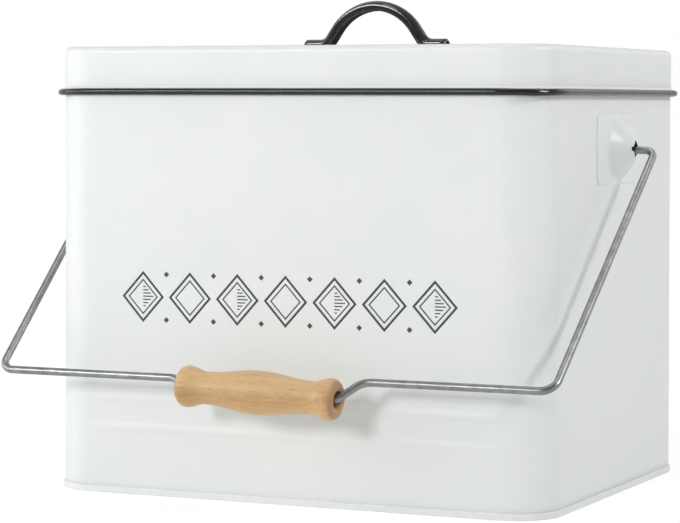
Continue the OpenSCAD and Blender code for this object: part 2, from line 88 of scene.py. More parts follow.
def camera_axes(yaw, pitch, roll):
    """Right, up and backward vectors of a camera that is turned, then tilted, then rolled."""
    forward = np.array([-math.sin(yaw), math.cos(yaw), 0.0])
    right = np.array([math.cos(yaw), math.sin(yaw), 0.0])
    up = np.array([0.0, 0.0, 1.0])
    ahead = forward * math.cos(pitch) + up * math.sin(pitch)
    above = -forward * math.sin(pitch) + up * math.cos(pitch)
    return (right * math.cos(roll) + above * math.sin(roll),
            -right * math.sin(roll) + above * math.cos(roll),
            -ahead)


camera_data = bpy.data.cameras.new("camera")
camera_data.sensor_width = 36
camera_data.lens = 36 * focal_px / frame_px[0]
camera_data.shift_x = (frame_px[0] / 2 - centre_px[0]) / frame_px[0]
camera_data.shift_y = (centre_px[1] - frame_px[1] / 2) / frame_px[0]
camera = bpy.data.objects.new("camera", camera_data)
bpy.context.scene.collection.objects.link(camera)
turned = Matrix(np.array(camera_axes(camera_yaw, camera_pitch, camera_roll)).T.tolist()).to_4x4()
camera.matrix_world = Matrix.Translation(camera_place) @ turned
bpy.context.scene.camera = camera
print("lens", round(camera_data.lens, 1), "mm")

# %% [markdown]
# A surface here is a grid of points. The helper turns the grid into quads with index arithmetic,
# so that no loop runs over vertices, and it can close the grid in either direction: a wall round
# the box is closed both ways, a tube only round its section. A grid that isn't closed gets its
# ends shut with one face each, because an open shell has no inside.

# %% A mesh from a grid of points
def grid_faces(rows, columns, close_rows, close_columns):
    """Quads of a grid, each as (i, j), (i + 1, j), (i + 1, j + 1), (i, j + 1)."""
    i, j = np.meshgrid(np.arange(rows if close_rows else rows - 1),
                       np.arange(columns if close_columns else columns - 1), indexing="ij")
    i, j = i.ravel(), j.ravel()
    i2, j2 = (i + 1) % rows, (j + 1) % columns
    return np.stack([i * columns + j, i2 * columns + j, i2 * columns + j2, i * columns + j2], 1)


def surface(name, points, body, close_rows=False, close_columns=False, cap_rows=False,
            uv=None, flip=False):
    """Piece whose vertices are a (rows, columns, 3) array in millimetres. Its faces point to the
    side from which rows run right when columns run up, or to the other side with flip."""
    rows, columns, _ = points.shape
    quads = grid_faces(rows, columns, close_rows, close_columns)
    faces = quads.tolist()
    if cap_rows:
        faces.append(list(range(columns)))
        faces.append(list(range((rows - 1) * columns, rows * columns))[::-1])
    if flip:
        faces = [f[::-1] for f in faces]
    mesh = bpy.data.meshes.new(name)
    mesh.from_pydata((points.reshape(-1, 3) * mm).tolist(), [], faces)
    if uv is not None:
        layer = mesh.uv_layers.new(name="along")
        corner = np.empty(len(mesh.loops), dtype=np.int32)
        mesh.loops.foreach_get("vertex_index", corner)
        layer.data.foreach_set("uv", uv.reshape(-1, 2)[corner].astype(np.float32).ravel())
    mesh.shade_smooth()
    mesh.validate()
    piece = bpy.data.objects.new(name, mesh)
    bpy.context.scene.collection.objects.link(piece)
    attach(piece, body)
    print(name, "faces", len(mesh.polygons))
    return piece


print("quads in a grid of 3 by 4 points:", len(grid_faces(3, 4, False, False)))

# %% [markdown]
# The box's plan is a rectangle with round corners. Walking round it once gives a place and an
# outward direction for every distance, and everything that follows the wall, from the floor seam
# to the rolled rim, is a small outline carried round that walk.

# %% Walking round the box
half_x, half_y = body_w / 2 - corner_r, body_d / 2 - corner_r
arc = corner_r * math.pi / 2
piece_lengths = np.array([half_x, arc, 2 * half_y, arc, 2 * half_x, arc, 2 * half_y, arc, half_x])
piece_starts = np.concatenate([[0.0], np.cumsum(piece_lengths)])
round_length = piece_starts[-1]


def walk(distance):
    """Place and outward normal at a distance round the plan, from the middle of the rear and
    anticlockwise from above. Straights step along their tangent, corners turn about a centre."""
    distance = np.mod(distance, round_length)
    k = np.clip(np.searchsorted(piece_starts, distance, side="right") - 1, 0, 8)
    inside = distance - piece_starts[k]
    corner = k % 2 == 1
    angle = np.pi / 2 * (1 + k // 2) + np.where(corner, inside / corner_r, 0.0)
    normal = np.stack([np.cos(angle), np.sin(angle)], -1)
    tangent = np.stack([-np.sin(angle), np.cos(angle)], -1)
    anchors = np.array([[0, body_d / 2], [-half_x, half_y], [-body_w / 2, half_y],
                        [-half_x, -half_y], [-half_x, -body_d / 2], [half_x, -half_y],
                        [body_w / 2, -half_y], [half_x, half_y], [half_x, body_d / 2]])[k]
    step = np.where(corner[..., None], corner_r * normal, inside[..., None] * tangent)
    return anchors + step, normal


def stations(per_side=24, per_corner=14):
    """Distances round the plan, close together in the corners."""
    counts = [per_side, per_corner] * 4 + [per_side]
    return np.concatenate([start + length * np.arange(n) / n
                           for start, length, n in zip(piece_starts, piece_lengths, counts)])


def carry_round(distances, outline, swell=None):
    """Grid of a (n, 2) outline of (outwards, up) carried along the walk. swell is added outwards."""
    place, normal = walk(distances)
    out = np.broadcast_to(outline[:, 0], (len(distances), len(outline)))
    out = out if swell is None else out + swell
    xy = place[:, None, :] + normal[:, None, :] * out[..., None]
    z = np.broadcast_to(outline[:, 1], out.shape)
    return np.concatenate([xy, z[..., None]], -1)


def bow(centre, radius, start, stop, count):
    """Points of an arc, from one angle to another, in degrees."""
    a = np.radians(np.linspace(start, stop, count))
    return np.stack([centre[0] + radius * np.cos(a), centre[1] + radius * np.sin(a)], -1)


def line(start, stop, count):
    """Evenly spaced points from start up to, but without, stop."""
    t = np.arange(count)[:, None] / count
    return np.array(start) * (1 - t) + np.array(stop) * t


print("once round the box:", round(round_length, 1), "mm")

# %% [markdown]
# ## Finishes
# Shader sums read best as plain expressions. `Value` wraps an output socket, so `1 - mask` or
# `grain * 0.3 + 0.4` adds the Math nodes by itself. Colours are blended with Mix nodes instead,
# because a Math node would turn them grey. Everything else comes from one `node` method, which
# serves materials and the world alike.

# %% A small language for shader sums
class Value:
    """A number that may change over a surface. Arithmetic on it adds Math nodes."""

    def __init__(self, network, socket):
        self.network, self.socket = network, socket

    def _sum(self, operation, first, second):
        return self.network.node("ShaderNodeMath", {"operation": operation}, {0: first, 1: second})

    def __add__(self, other):
        return self._sum("ADD", self, other)

    def __radd__(self, other):
        return self._sum("ADD", other, self)

    def __sub__(self, other):
        return self._sum("SUBTRACT", self, other)

    def __rsub__(self, other):
        return self._sum("SUBTRACT", other, self)

    def __mul__(self, other):
        return self._sum("MULTIPLY", self, other)

    def __rmul__(self, other):
        return self._sum("MULTIPLY", other, self)


class Network:
    """The nodes of a material or of the world."""

    def __init__(self, tree):
        self.tree = tree

    def node(self, kind, settings=None, inputs=None, output=0):
        """Adds any node: its settings first, then the values or links of its sockets."""
        made = self.tree.nodes.new(kind)
        for key, value in (settings or {}).items():
            setattr(made, key, value)
        for key, value in (inputs or {}).items():
            if isinstance(value, Value):
                self.tree.links.new(value.socket, made.inputs[key])
            else:
                made.inputs[key].default_value = value
        return Value(self, made.outputs[output])

    def light_path(self, ray):
        """1 for one kind of ray, such as "Is Camera Ray", else 0."""
        return self.node("ShaderNodeLightPath", output=ray)

    def show(self, shader, output_node):
        """Makes a shader the one that is seen."""
        self.tree.links.new(shader.socket, self.tree.nodes[output_node].inputs[0])


class Finish(Network):
    """A material: a Principled shader, and the nodes that feed it."""

    def __init__(self, name, **constants):
        self.material = bpy.data.materials.new(name)
        self.material.use_nodes = True
        super().__init__(self.material.node_tree)
        self.shader = self.tree.nodes["Principled BSDF"]
        for key, value in constants.items():
            socket = key.replace("_", " ").title().replace("Ior", "IOR")
            self.shader.inputs[socket].default_value = value

    def ramp(self, factor, stops):
        """Colour that runs through (position, colour) stops."""
        ramp = self.node("ShaderNodeValToRGB", {}, {"Fac": factor})
        elements = ramp.socket.node.color_ramp.elements
        while len(elements) < len(stops):
            elements.new(0.5)
        for element, (position, colour) in zip(elements, stops):
            element.position, element.color = position, (*colour, 1)
        return ramp

    def blend(self, factor, first, second):
        """Colour between two colours."""
        return self.node("ShaderNodeMix", {"data_type": "RGBA"},
                         {0: factor, 6: first, 7: second}, output=2)

    def coordinates(self, scale=(1, 1, 1), source="Object"):
        """Object coordinates in metres, or the piece's own UV, scaled for a pattern."""
        raw = self.node("ShaderNodeTexCoord", output=source)
        return self.node("ShaderNodeMapping", {}, {"Vector": raw, "Scale": scale})

    def distance(self, centre=(0, 0, 0), axes=(1, 1, 1)):
        """Distance in metres from a point, or from a line where one of the axes counts for 0."""
        away = self.node("ShaderNodeVectorMath", {"operation": "SUBTRACT"},
                         {0: self.coordinates(), 1: centre})
        kept = self.node("ShaderNodeVectorMath", {"operation": "MULTIPLY"}, {0: away, 1: axes})
        return self.node("ShaderNodeVectorMath", {"operation": "LENGTH"}, {0: kept}, output=1)

    def step(self, value, limit):
        """1 where a value is above a limit, else 0."""
        return self.node("ShaderNodeMath", {"operation": "GREATER_THAN"}, {0: value, 1: limit})

    def ear_hollow_shade(self):
        """1 on the outer skin of the walls inside the domes: the mask of the painted shade in their
        hollows.
        """
        off_axis = self.distance((0, 0, ear_z * mm), (0, 1, 1))
        out = self.distance((0, 0, 0), (1, 0, 0))
        return self.step(out, (body_w / 2 - 0.3) * mm) * (1 - self.step(off_axis, 0.0125))

    def noise(self, vector, scale, detail=2.0, roughness=0.5):
        """Smooth random value about 0.5, whose scale says how many spots go to a unit."""
        return self.node("ShaderNodeTexNoise", {},
                         {"Vector": vector, "Scale": scale, "Detail": detail,
                          "Roughness": roughness})

    def bump(self, height, distance, strength=1.0, after=None):
        """Normal that a height in metres would give, on top of another bump."""
        inputs = {"Height": height, "Distance": distance, "Strength": strength}
        if after is not None:
            inputs["Normal"] = after
        return self.node("ShaderNodeBump", {}, inputs)

    def feed(self, socket, value):
        """Links a value that changes over the surface to one of the shader's sockets."""
        self.tree.links.new(value.socket, self.shader.inputs[socket])
        return self


def grey(level):
    """Colour whose three parts are the same."""
    return (level, level, level, 1)


def dress(finish, *names):
    """Gives CAD nodes or pieces a finish."""
    for name in names:
        thing = nodes.get(name) or bpy.data.objects[name]
        thing.data.materials.clear()
        thing.data.materials.append(finish.material)


print("helpers for finishes ready")

# %% [markdown]
# The walls and the lid wear a baked white powder coat. It is nearly smooth, with the faint orange
# peel that such a coat dries to, and under it the sheet is never quite flat, which is what makes a
# reflection on real tinware wander. Both are bump, at two very different scales. The patch of wall
# behind each ear, seen only through the hole in its dome, is masked out and painted near black as
# painted shade for the hollow.

# %% White coat
def white_coat(name, with_hollow_shade):
    """Powder coat, with or without the painted shade on the patches of wall behind the ears."""
    finish = Finish(name, specular_ior_level=0.38)
    place = finish.coordinates()
    peel = finish.noise(place, 700, 3)
    wander = finish.noise(place, 9, 1)
    patches = finish.noise(place, 35, 3)
    tint = finish.ramp(patches, [(0.3, (0.800, 0.830, 0.822)), (0.7, (0.822, 0.845, 0.838))])
    if with_hollow_shade:
        # Painted shade: the wall inside each dome, seen through its hole, is painted near black.
        tint = finish.blend(finish.ear_hollow_shade(), tint, (0.012, 0.012, 0.012, 1))
    finish.feed("Base Color", tint)
    finish.feed("Roughness", patches * 0.1 + 0.3)
    sheet = finish.bump(wander, 0.0012)
    finish.feed("Normal", finish.bump(peel, 0.00002, 0.6, after=sheet))
    return finish


white = white_coat("white_coat", False)
walls_with_shade = white_coat("walls_painted_shade", True)
print("white coat made")

# %% [markdown]
# The rim and the lid's handle are dipped in gloss black. Pure black would look like a hole, so it
# is a very dark grey. The gloss is sharp where the coat is clean and a little wider where dust
# dried into it, so one fine noise drives both the colour and the roughness.

# %% Black coat
def black_coat():
    finish = Finish("black_coat")
    place = finish.coordinates()
    peel = finish.noise(place, 500, 3)
    dust = finish.noise(place, 160, 4)
    tint = finish.ramp(dust, [(0.35, (0.007, 0.007, 0.008)), (0.75, (0.014, 0.014, 0.015))])
    finish.feed("Base Color", tint)
    finish.feed("Roughness", dust * 0.12 + 0.08)
    finish.feed("Normal", finish.bump(peel, 0.00003, 0.6))
    return finish


black = black_coat()
print("black coat made")

# %% [markdown]
# Drawn wire keeps fine lines along its length, so its pattern follows the wire's own UV: u runs
# along, in tenths of a metre, and v once round. A noise that is squeezed round the wire and
# stretched along it draws them, and a second one in space is the cloudy bloom of a thin plating.

# %% Bright drawn wire
def drawn_wire():
    finish = Finish("drawn_wire", metallic=1.0)
    lines = finish.noise(finish.coordinates(scale=(14, 16, 1), source="UV"), 1.0, 4, 0.6)
    bloom = finish.noise(finish.coordinates(), 260, 3)
    tint = finish.ramp(bloom, [(0.3, (0.24, 0.245, 0.25)), (0.7, (0.35, 0.355, 0.36))])
    finish.feed("Base Color", tint)
    finish.feed("Roughness", lines * 0.16 + 0.24 + bloom * 0.08)
    finish.feed("Normal", finish.bump(lines, 0.00006, 0.5))
    return finish


wire_finish = drawn_wire()
print("drawn wire made")

# %% [markdown]
# Pins, screws and washers are zinc plated. Such a plate is pale, with a cloudy bloom that dulls it
# in spots, so the same noise makes it both lighter and rougher.

# %% Zinc plate
def zinc_plate():
    finish = Finish("zinc_plate", metallic=1.0)
    place = finish.coordinates()
    bloom = finish.noise(place, 400, 3)
    finish.feed("Base Color", finish.ramp(bloom, [(0.3, (0.42, 0.42, 0.41)),
                                                  (0.7, (0.58, 0.58, 0.55))]))
    finish.feed("Roughness", bloom * 0.2 + 0.25)
    finish.feed("Normal", finish.bump(bloom, 0.00003, 0.5))
    return finish


zinc = zinc_plate()
print("zinc plate made")

# %% [markdown]
# Beech has a fine, even grain that runs along the grip, and short darker flecks a few millimetres
# long. The grip's long axis is nearly the X axis, so object coordinates squeezed along X draw both,
# and slow bands across the grain stand for the growth rings that turning cuts through. What the
# lathe leaves goes round the grip, so it follows the grip's own UV, with u from one end to the
# other: faint burnt rings near both ends, and end faces that are darker, because end grain drinks
# more of the oil.

# %% Beech
def beech_wood():
    finish = Finish("beech", specular_ior_level=0.45)
    lengthwise = finish.coordinates(scale=(26, 520, 520))
    slow = finish.coordinates(scale=(9, 75, 75))
    flecks_at = finish.coordinates(scale=(240, 1500, 1500))
    round_it = finish.coordinates(scale=(330, 0, 1), source="UV")
    fibre = finish.noise(lengthwise, 1.0, 5, 0.65)
    rings = finish.noise(slow, 1.0, 2, 0.4)
    flecks = finish.noise(flecks_at, 1.0, 1, 0.3)
    turned = finish.noise(round_it, 1.0, 2, 0.6)
    place = finish.node("ShaderNodeSeparateXYZ", {}, {0: finish.coordinates(source="UV")})
    from_middle = finish.node("ShaderNodeMath", {"operation": "ABSOLUTE"}, {0: place - 0.5})
    near_end = finish.ramp(from_middle, [(0.24, (0, 0, 0)), (0.34, (1, 1, 1))])
    end_grain = finish.ramp(from_middle, [(0.478, (0, 0, 0)), (0.492, (1, 1, 1))])
    base = finish.ramp(rings * 0.62 + fibre * 0.38, [(0.32, (0.500, 0.295, 0.125)),
                                                     (0.50, (0.645, 0.415, 0.195)),
                                                     (0.68, (0.745, 0.515, 0.268))])
    marks = finish.ramp(flecks, [(0.60, (0, 0, 0)), (0.70, (1, 1, 1))])
    lathe = finish.ramp(turned, [(0.52, (0, 0, 0)), (0.66, (1, 1, 1))])
    spotted = finish.blend(marks * 0.3, base, (0.33, 0.175, 0.072, 1))
    banded = finish.blend(lathe * near_end * 0.28, spotted, (0.38, 0.21, 0.095, 1))
    finish.feed("Base Color", finish.blend(end_grain * 0.7, banded, (0.37, 0.185, 0.088, 1)))
    finish.feed("Roughness", fibre * 0.2 + 0.32)
    grooves = finish.bump(turned, 0.0002, 0.5)
    finish.feed("Normal", finish.bump(fibre, 0.00012, 0.5, after=grooves))
    return finish


beech = beech_wood()
print("beech made")

# %% [markdown]
# Three finishes are left. The filter tray is moulded in black plastic with a fine grain, the filter
# is a felt full of carbon, almost black and with no shine, and the print on the front is an even
# film of dark grey ink.

# %% Filter tray, felt and ink
def moulded_black():
    finish = Finish("moulded_black")
    place = finish.coordinates()
    grain = finish.noise(place, 1500, 2)
    finish.feed("Base Color", finish.ramp(grain, [(0.3, (0.018, 0.018, 0.018)),
                                                  (0.7, (0.03, 0.03, 0.03))]))
    finish.feed("Roughness", grain * 0.2 + 0.4)
    finish.feed("Normal", finish.bump(grain, 0.00005, 0.5))
    return finish


def carbon_felt():
    finish = Finish("carbon_felt", roughness=0.95, sheen_weight=0.3)
    place = finish.coordinates()
    fibres = finish.noise(place, 900, 6, 0.8)
    finish.feed("Base Color", finish.ramp(fibres, [(0.3, (0.01, 0.01, 0.01)),
                                                   (0.7, (0.05, 0.05, 0.05))]))
    finish.feed("Normal", finish.bump(fibres, 0.0006, 0.8))
    return finish


def printed_ink():
    finish = Finish("printed_ink")
    place = finish.coordinates()
    film = finish.noise(place, 1200, 3)
    finish.feed("Base Color", finish.ramp(film, [(0.3, (0.030, 0.032, 0.036)),
                                                 (0.75, (0.060, 0.063, 0.068))]))
    finish.feed("Roughness", film * 0.2 + 0.35)
    return finish


# The moulded black also serves as painted shade on the inner skin of each ear.
moulded, felt, ink = moulded_black(), carbon_felt(), printed_ink()
print("tray, felt and ink made")

# %% [markdown]
# ## Walls
# The body is one sheet, rolled round and pressed. Its outline, seen at a cut, goes up the outside,
# over the shoulder to the neck that the lid slips over, round the curled edge and down the inside.
# Carrying that outline round the box closes it both ways. The two stiffening ribs are added as a
# swell of both skins at once, as a press makes them, with soft cosine flanks. They sit a little
# off the middle, because the real ones end nearer to one corner than to the other.

# %% Body walls
def wall_outline():
    """Closed outline of (outwards, up), from the foot of the outer face round to the inner foot."""
    low, high = 24.0, 52.0
    curl = np.array([-neck_inset - neck_curl_r, neck_top - neck_curl_r])
    inner = -neck_inset - sheet_t
    knee = shoulder_z - 0.3
    return np.concatenate([
        line((0, sheet_t), (0, low), 4), line((0, low), (0, high), 70),
        line((0, high), (0, knee - 0.6), 12),
        bow((-0.9, knee - 0.6), 0.9, 0, 45, 5),
        bow((-neck_inset + 0.7, shoulder_z + neck_inset + 0.35), 0.7, 225, 180, 5),
        line((-neck_inset, shoulder_z + 2.4), curl + (neck_curl_r, 0), 5),
        bow(curl, neck_curl_r, 0, 250, 16),
        line((inner, curl[1] - 1.3), (inner, shoulder_z + 2.2), 5),
        line((inner, shoulder_z + 1.2), (-sheet_t, knee - 1.0), 3),
        line((-sheet_t, knee - 1.0), (-sheet_t, high), 8),
        line((-sheet_t, high), (-sheet_t, low), 70), line((-sheet_t, low), (-sheet_t, sheet_t), 4),
        np.array([[-sheet_t, sheet_t]]),
    ])


def rib_swell(place, normal, z):
    """How far the ribs push the wall out: a squared cosine in height, faded out at both ends, and
    only where the wall faces the front or the rear."""
    half_length, half_w, fade = half_x + 1.9, rib_w * 0.58, 3.5
    reach = np.clip((half_length - np.abs(place[:, 0] - rib_shift)) / fade, 0, 1)
    ends = (reach * reach * (3 - 2 * reach)) * (np.abs(normal[:, 1]) > 0.9)
    across = sum(np.cos(np.clip(np.abs(z - h) / half_w, 0, 1) * np.pi / 2) ** 2
                 for h in rib_heights)
    return rib_h * ends[:, None] * across[None, :]


def make_walls():
    outline = wall_outline()
    distances = stations(per_side=30)
    place, normal = walk(distances)
    swell = rib_swell(place, normal, outline[:, 1])
    return surface("walls", carry_round(distances, outline, swell), "caddy",
                   close_rows=True, close_columns=True)


walls = make_walls()
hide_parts("body_shell")
dress(walls_with_shade, "walls")
dress(white, "base_pan", "lid_shell")

# %% [markdown]
# ## Rim
# The lid's lower edge is rolled outwards round a wire and dipped black. A bent edge is never even:
# in the corners the roll is squeezed, so it sits a hair lower and further out there. The roll stops
# on both sides of each hinge, so it is two tubes with closed ends.

# %% Rolled rim
def corner_nearness(distances, spread=9.0):
    """1 in the middle of a corner, falling to 0 along a bell curve."""
    middles = piece_starts[[1, 3, 5, 7]] + arc / 2
    away = np.abs(np.mod(distances, round_length)[:, None] - middles[None, :])
    return np.exp(-(away / spread) ** 2).sum(1)


def rolled_edge(start, stop, count):
    """Tube round the walk from one distance to another: centre line plus a circle, which is
    thinner, further out and lower at the corners."""
    squeeze, push_out, drop = 0.05, 0.22, 0.28
    distances = np.linspace(start, stop, count)
    near = corner_nearness(distances)[:, None]
    phi = np.linspace(0, 2 * np.pi, 20, endpoint=False)[None, :]
    radius = bead_r * (1 - squeeze * near)
    out = bead_out + push_out * near + radius * np.cos(phi)
    z = bead_z - drop * near + radius * np.sin(phi)
    place, normal = walk(distances)
    xy = place[:, None, :] + normal[:, None, :] * out[..., None]
    return np.concatenate([xy, np.broadcast_to(z, out.shape)[..., None]], -1)


rim_front = surface("rim", rolled_edge(notch_far, round_length - notch_far, 420), "lid",
                    close_columns=True, cap_rows=True)
rim_rear = surface("rim_rear", rolled_edge(-notch_near, notch_near, 30), "lid",
                   close_columns=True, cap_rows=True)
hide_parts("lid_rim")
dress(black, "rim", "rim_rear")

# %% [markdown]
# ## Paths with rounded corners
# The bail and the lid's handle are both bent from straight stock, so both are described the way a
# bender would do it: corners, each with a bend radius. The helper walks such a path and gives
# points at even steps along every straight and round every bend.

# %% Bending a path
def bent_path(corners, radii, per_straight, per_bend):
    """Points of a flat path whose corners are rounded: each bend touches both of its lines at
    radius times the tangent of half the turn."""
    corners = np.array(corners, float)
    step = np.diff(corners, axis=0)
    length = np.linalg.norm(step, axis=1)
    heading = np.arctan2(step[:, 1], step[:, 0])
    turn = np.mod(np.diff(heading) + np.pi, 2 * np.pi) - np.pi
    reach = np.concatenate([[0], np.array(radii) * np.tan(np.abs(turn) / 2), [0]])
    unit = step / length[:, None]
    parts = []
    for k in range(len(unit)):
        start = corners[k] + unit[k] * reach[k]
        stop = corners[k + 1] - unit[k] * reach[k + 1]
        t = np.linspace(0, 1, per_straight)[:, None]
        parts.append(start * (1 - t) + stop * t)
        if k < len(turn):
            side = np.sign(turn[k])
            left = np.array([-unit[k][1], unit[k][0]])
            centre = stop + side * radii[k] * left
            a = heading[k] - side * np.pi / 2 + turn[k] * np.arange(1, per_bend)[:, None] / per_bend
            parts.append(centre + radii[k] * np.concatenate([np.cos(a), np.sin(a)], 1))
    return np.concatenate(parts)


def lengths_along(points):
    """Distance along a path at each of its points."""
    return np.concatenate([[0], np.cumsum(np.linalg.norm(np.diff(points, axis=0), axis=1))])


one_bend = bent_path([(0, 0), (10, 0), (10, 10)], [5], 2, 12)
print("a right angle of 10 by 10 mm, bent at 5 mm:", round(lengths_along(one_bend)[-1], 2), "mm long")

# %% [markdown]
# ## Bail
# One wire makes the whole bail: in through a dome, round, down the arm, round again, along the
# crossbar, outwards by a small jog for the grip, and back the same way. All of it lies in one
# plane through the pivots. It is bent by hand, so the arms and the jogs aren't quite the same left
# and right. Inside each dome the end is upset to a short thick head, which here is the tube's own
# radius growing near its ends.

# %% Bail wire
def tube(points, radius, sides=24):
    """Grid round a flat path: each ring is spanned by the path's own normal and the plane's."""
    forward = np.gradient(points, axis=0)
    forward /= np.linalg.norm(forward, axis=1)[:, None]
    normal = np.stack([-forward[:, 1], forward[:, 0]], -1)
    phi = np.linspace(0, 2 * np.pi, sides, endpoint=False)
    flat = points[:, None, :] + normal[:, None, :] * (radius[:, None] * np.cos(phi))[..., None]
    lift = radius[:, None] * np.sin(phi)[None, :]
    return np.concatenate([flat, lift[..., None]], -1)


def into_bail(grid):
    """Turns (across, from the pivot, out of the plane) into the stored bail's place in space."""
    across, down, lift = grid[..., 0] + bail_shift, grid[..., 1], grid[..., 2]
    y = -down * math.sin(bail_angle) + lift * math.cos(bail_angle)
    z = pivot_z - down * math.cos(bail_angle) - lift * math.sin(bail_angle)
    return np.stack([across, y, z], -1)


def bail_corners():
    """Corners of the wire from the right end to the left, and the bend radius of each. The arms
    differ by twice the skew, and the stretch inside the grip leans to meet both jogs."""
    end, reach, lean = body_w / 2 + 4.0, bail_arm + jog_depth, math.tan(grip_tilt)
    near, far = bail_arm - bail_skew, bail_arm + bail_skew
    corners = [(end, 0), (arm_top_x, 0), (arm_foot_x, near), (jog_x + jog_right_run, near),
               (jog_x, reach + jog_x * lean), (-jog_x, reach - jog_x * lean),
               (-jog_x - jog_left_run, far), (-arm_foot_x, far), (-arm_top_x, 0), (-end, 0)]
    return corners, [5.2, 7, 8.5, 4, 4, 6, 7, 5.2]


def make_bail():
    """The wire as a tube, whose radius grows to a head a little way in from each end."""
    head_at, head_half, head_extra = 1.8, 0.9, 1.3
    points = bent_path(*bail_corners(), 26, 14)
    _, keep = np.unique(np.round(lengths_along(points), 5), return_index=True)
    points = points[keep]
    run = lengths_along(points)
    from_end = np.minimum(run, run[-1] - run)
    head = np.clip(1 - np.abs(from_end - head_at) / head_half, 0, 1) ** 0.35
    radius = wire_r + head_extra * head
    grid = tube(points, radius)
    u = np.broadcast_to(run[:, None] / 100, grid.shape[:2])
    v = np.broadcast_to(np.linspace(0, 1, grid.shape[1])[None, :], grid.shape[:2])
    return surface("bail", into_bail(grid), "bail", close_columns=True,
                   cap_rows=True, uv=np.stack([u, v], -1), flip=True)


bail = make_bail()
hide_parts("bail_wire")
dress(wire_finish, "bail")

# %% [markdown]
# ## Grip
# The grip is turned on a lathe, so it is a surface of revolution: one radius for every place along
# it. A cosine from belly to neck and another from neck to bulge flow into each other without a
# kink, and the ends roll over to the bore. The bore is part of the same closed outline.

# %% Turned grip
def grip_outline():
    """Closed outline of (along, radius): outside from end to end, then back through the bore."""
    half = grip_len / 2
    neck, bulge = grip_len * 0.34, grip_len * 0.4565
    x = half * np.sin(np.linspace(-1, 1, 141) * np.pi / 2)
    a = np.abs(x)
    belly = grip_neck_r + (grip_r - grip_neck_r) * (1 + np.cos(np.pi * a / neck)) / 2
    wave = np.cos(np.pi * (a - neck) / (bulge - neck))
    rise = grip_neck_r + (grip_end_r - grip_neck_r) * (1 - wave) / 2
    roll_r = half - bulge
    end = grip_end_r - roll_r + np.sqrt(np.clip(roll_r ** 2 - (a - bulge) ** 2, 0, None))
    outside = np.select([a < neck, a < bulge], [belly, rise], end)
    face = np.linspace(outside[-1] - 0.2, grip_bore_r + grip_sink + 0.1, 5)
    mouth = [(half - 0.12, grip_bore_r + grip_sink - 0.12), (half - grip_sink, grip_bore_r)]
    bore = np.linspace(half - 3, -half + 3, 14)
    return np.concatenate([
        np.stack([x, outside], -1), np.stack([np.full(5, half), face], -1), np.array(mouth),
        np.stack([bore, np.full(14, grip_bore_r)], -1),
        np.array([(-x0, r0) for x0, r0 in mouth[::-1]]),
        np.stack([np.full(5, -half), face[::-1]], -1),
    ])


def make_grip():
    """The outline turned about its axis, which leans by the tilt in the bail's plane."""
    outline = grip_outline()
    phi = np.linspace(0, 2 * np.pi, 72, endpoint=False)[None, :]
    along, radius = outline[:, 0][:, None], outline[:, 1][:, None]
    side = radius * np.cos(phi)
    cos_tilt, sin_tilt = math.cos(grip_tilt), math.sin(grip_tilt)
    across = grip_shift + along * cos_tilt - side * sin_tilt
    down = bail_arm + jog_depth + (grip_shift + along) * sin_tilt + side * cos_tilt
    grid = np.stack([across, down, -radius * np.sin(phi)], -1)
    points = into_bail(grid)
    u = np.broadcast_to(along / grip_len + 0.5, radius.shape) * np.ones_like(phi)
    v = phi / (2 * np.pi) * np.ones_like(along)
    return surface("grip", points, "grip", close_rows=True, close_columns=True,
                   uv=np.stack([u, v], -1))


grip = make_grip()
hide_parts("bail_grip")
dress(beech, "grip")

# %% [markdown]
# ## Lid handle
# The handle is pressed from black-coated strap: two flat feet, straight legs and a round crown,
# hollow below. Its upright sides turn into the domed crest over a narrow bevel, which catches the
# light as one long line. Its upper and lower lines bend differently, softly above and sharply
# below, so both are walked with the same number of steps, and the section is stretched between
# them. It is screwed on a hair to the right of the middle, as on the real lid.

# %% Arched handle
strap_len, strap_w, strap_depth = 76.6, 8.5, 4.9
strap_slope = math.radians(56)
strap_rise, crown_r, strap_shift = 18.7, 23.2, 0.95


def strap_lines():
    """Lower and upper line of the strap, as (along, up) points in step with each other."""
    peak = strap_rise + crown_r * (1 / math.cos(strap_slope) - 1)
    foot = peak / math.tan(strap_slope)
    lean = strap_depth * math.tan(strap_slope / 2)
    high_peak = peak + strap_depth / math.cos(strap_slope)
    lower = bent_path([(-strap_len / 2, 0), (-foot, 0), (0, peak), (foot, 0), (strap_len / 2, 0)],
                      [1.6, crown_r, 1.6], 18, 34)
    upper = bent_path([(-strap_len / 2 + 1.2, strap_depth), (-foot - lean, strap_depth),
                       (0, high_peak), (foot + lean, strap_depth),
                       (strap_len / 2 - 1.2, strap_depth)],
                      [4.5, crown_r + strap_depth, 4.5], 18, 34)
    return lower, upper


def strap_section():
    """Closed section of (across, share of the depth): upright sides, a bevel for a shoulder, a
    domed crest, and hollow below."""
    half, sheet = strap_w / 2, 1.2
    inner = half - sheet
    t = np.linspace(0, 1, 8)
    bevel = np.array([(half, 0.62), (half - 0.04, 0.645), (half - 0.14, 0.67),
                      (half - 0.52, 0.745), (half - 0.66, 0.765)])
    crest = np.stack([(half - 0.8) * (1 - t), 0.775 + 0.225 * np.sin(t * np.pi / 2)], -1)
    right = np.concatenate([[(half - 0.35, 0.0), (half - 0.08, 0.05), (half, 0.14), (half, 0.38)],
                            bevel, crest[:-1]])
    over = np.concatenate([right, [(0.0, 1.0)], right[::-1] * np.array([-1, 1])])
    under = np.array([(-inner, 0.0), (-inner, 0.45), (-inner + 0.7, 0.66), (0, 0.72),
                      (inner - 0.7, 0.66), (inner, 0.45), (inner, 0.0)])
    return np.concatenate([over, under])


